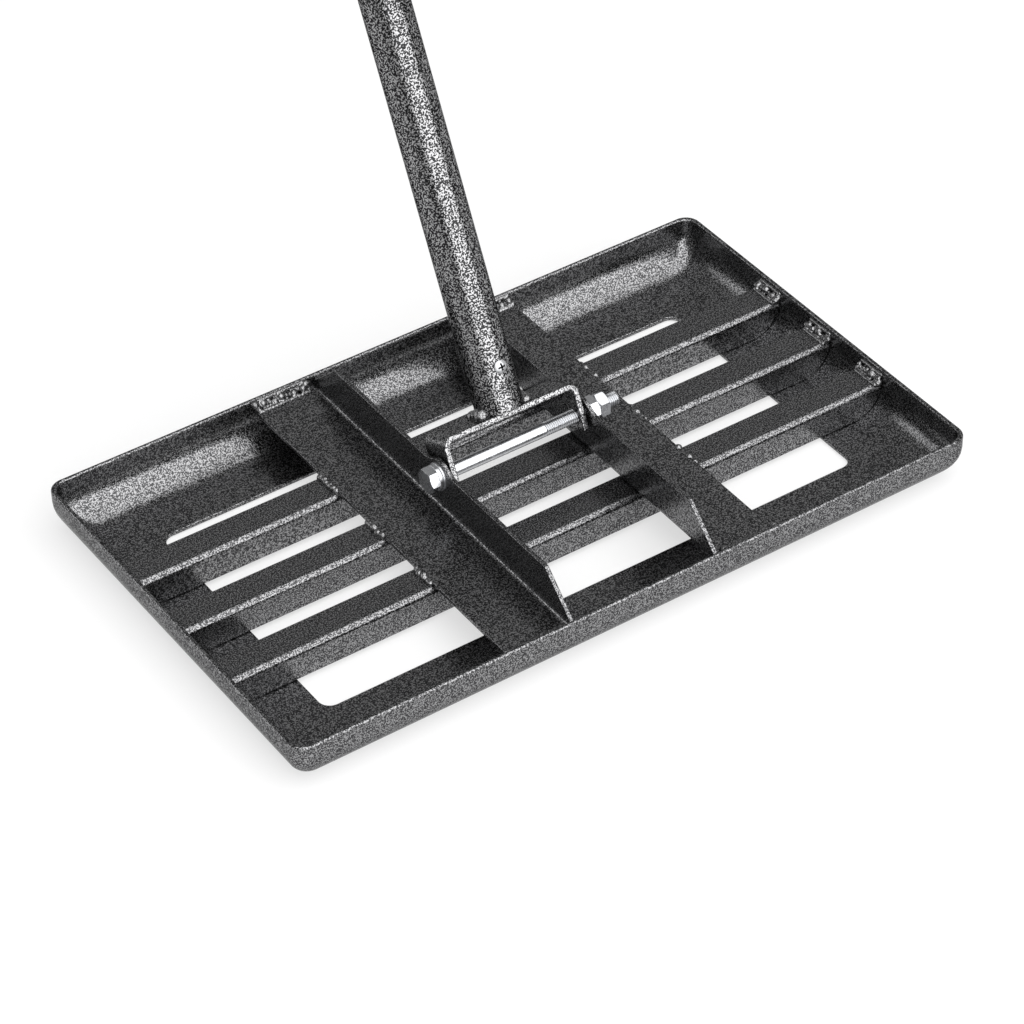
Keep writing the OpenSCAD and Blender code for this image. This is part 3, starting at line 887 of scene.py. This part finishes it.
rubber = matt_rubber("matt_rubber", (0.022, 0.022, 0.023))
sleeve = bmesh.new()
grip_bore = tube_radius + grip_play
ribs = [(grip_bore, grip_length), (grip_bore, 0), (grip_radius, 0)]
for i in range(1, int(grip_length / rib_pitch)):
    for shift, sink in (
            (-groove_top, 0), (-groove_floor, rib_depth), (groove_floor, rib_depth), (groove_top, 0)):
        ribs.append((grip_radius - sink, i * rib_pitch + shift))
ribs.append((grip_radius, grip_length))
turned_piece(sleeve, ribs, True)
bmesh.ops.transform(
    sleeve, matrix=on_tube @ Matrix.Translation((0, 0, handle_length - grip_length)), verts=sleeve.verts)
piece = add_piece("ribbed_grip", sleeve, rubber, "handle", "soft_grip", "grip")
dress_edges(piece, grip_edge)

plug = bmesh.new()
cap_rise = plug_head - plug_rim
cap_ball = (grip_radius ** 2 + cap_rise ** 2) / (2 * cap_rise)
cap = [
    (cap_ball * math.sin(a), plug_head - cap_ball * (1 - math.cos(a)))
    for a in (math.asin(grip_radius / cap_ball) * i / 10 for i in range(10, -1, -1))]
stem = ((0, -plug_depth), (plug_radius, -plug_depth), (plug_radius, 0), (grip_radius, 0))
turned_piece(plug, (*stem, *cap), False)
bmesh.ops.transform(plug, matrix=on_tube @ Matrix.Translation((0, 0, handle_length)), verts=plug.verts)
piece = add_piece("domed_plug", plug, rubber, "handle", "soft_grip", "end_plug")
dress_edges(piece, plug_edge)

# Studio
# A plain white floor under an even grey sky that darkens overhead. A large soft panel hangs over the front,
# a wide low one stands before the object, and a smaller one stands low behind it on the left.
floor_drop = 0.5 * mm
floor_half = 60
floor_glow = 0.6
sky_levels = ((0, 0.36), (0.3, 0.33), (0.64, 0.32), (0.82, 0.26), (1, 0.11))
floor_material = bpy.data.materials.new("white_floor")
floor_material.use_nodes = True
nodes = floor_material.node_tree.nodes
links = floor_material.node_tree.links
nodes.remove(nodes["Principled BSDF"])
paper = nodes.new("ShaderNodeBsdfDiffuse")
paper.inputs["Color"].default_value = (0.96, 0.96, 0.96, 1)
glow = nodes.new("ShaderNodeEmission")
glow.inputs["Strength"].default_value = 1
ray = nodes.new("ShaderNodeLightPath")
seen = nodes.new("ShaderNodeMath")
seen.operation = "ADD"
links.new(ray.outputs["Is Camera Ray"], seen.inputs[0])
links.new(ray.outputs["Is Glossy Ray"], seen.inputs[1])
shown = nodes.new("ShaderNodeMath")
shown.operation = "ADD"
links.new(seen.outputs["Value"], shown.inputs[0])
links.new(ray.outputs["Is Transmission Ray"], shown.inputs[1])
glowing = nodes.new("ShaderNodeMath")
glowing.operation = "MULTIPLY"
glowing.use_clamp = True
glowing.inputs[1].default_value = floor_glow
links.new(shown.outputs["Value"], glowing.inputs[0])
blend = nodes.new("ShaderNodeMixShader")
links.new(glowing.outputs["Value"], blend.inputs["Fac"])
links.new(paper.outputs["BSDF"], blend.inputs[1])
links.new(glow.outputs["Emission"], blend.inputs[2])
links.new(blend.outputs["Shader"], nodes["Material Output"].inputs["Surface"])
floor_bm = bmesh.new()
bmesh.ops.create_grid(
    floor_bm, x_segments=1, y_segments=1, size=floor_half, matrix=Matrix.Translation((0, 0, -floor_drop)))
floor_mesh = bpy.data.meshes.new("floor")
floor_bm.to_mesh(floor_mesh)
floor_bm.free()
floor_mesh.materials.append(floor_material)
floor = bpy.data.objects.new("floor", floor_mesh)
bpy.context.scene.collection.objects.link(floor)

world = bpy.data.worlds.new("studio_sky")
bpy.context.scene.world = world
world.use_nodes = True
nodes = world.node_tree.nodes
links = world.node_tree.links
sky = nodes["Background"]
way = nodes.new("ShaderNodeTexCoord")
split = nodes.new("ShaderNodeSeparateXYZ")
links.new(way.outputs["Generated"], split.inputs["Vector"])
sky_ramp = nodes.new("ShaderNodeValToRGB")
links.new(split.outputs["Z"], sky_ramp.inputs["Fac"])
links.new(sky_ramp.outputs["Color"], sky.inputs["Color"])
stops = sky_ramp.color_ramp.elements
while len(stops) < len(sky_levels):
    stops.new(1)
for stop, (rise, level) in zip(stops, sky_levels):
    stop.position = rise
    stop.color = (level, level, level, 1)


def soft_box(name, location, aim, width, length, level):
    """A large soft lamp whose face has the given brightness, where 1 is white."""
    lamp = bpy.data.lights.new(name, "AREA")
    lamp.shape = "RECTANGLE"
    lamp.size = width
    lamp.size_y = length
    lamp.energy = level * math.pi * width * length
    holder = bpy.data.objects.new(name, lamp)
    holder.location = location
    holder.rotation_euler = (Vector(aim) - Vector(location)).to_track_quat("-Z", "Y").to_euler()
    holder.visible_camera = False
    bpy.context.scene.collection.objects.link(holder)


soft_box(
    "front_box", location=(0.15, -1.244, 2.13), aim=(0.15, 0.388, 0.359), width=4.2, length=6.14, level=2.2)
soft_box("low_box", location=(0.15, -3.1, 0.75), aim=(0, 0, 0.1), width=3.8, length=1.1, level=0.95)
soft_box("back_box", location=(-1.86, 1.67, 0.86), aim=(0, 0, 0.05), width=1.7, length=1.05, level=1.25)

# Camera
# Placed by the photograph: the pan's rim, the bars and the opening fix its place, its turn and its lens.
camera_data = bpy.data.cameras.new("camera")
camera_data.sensor_width = 36
camera_data.lens = 133.5
camera_data.clip_end = 200
camera = bpy.data.objects.new("camera", camera_data)
azimuth = math.radians(33.9)
elevation = math.radians(40.03)
roll = math.radians(-1)
look = Vector((
    math.sin(azimuth) * math.cos(elevation), math.cos(azimuth) * math.cos(elevation), -math.sin(elevation)))
turn = look.to_track_quat("-Z", "Y") @ Quaternion((0, 0, 1), roll)
camera.location = (-887.2 * mm, -1321.5 * mm, 1330.6 * mm)
camera.rotation_euler = turn.to_euler()
bpy.context.scene.collection.objects.link(camera)
bpy.context.scene.camera = camera
bpy.context.scene.view_settings.view_transform = "Standard"
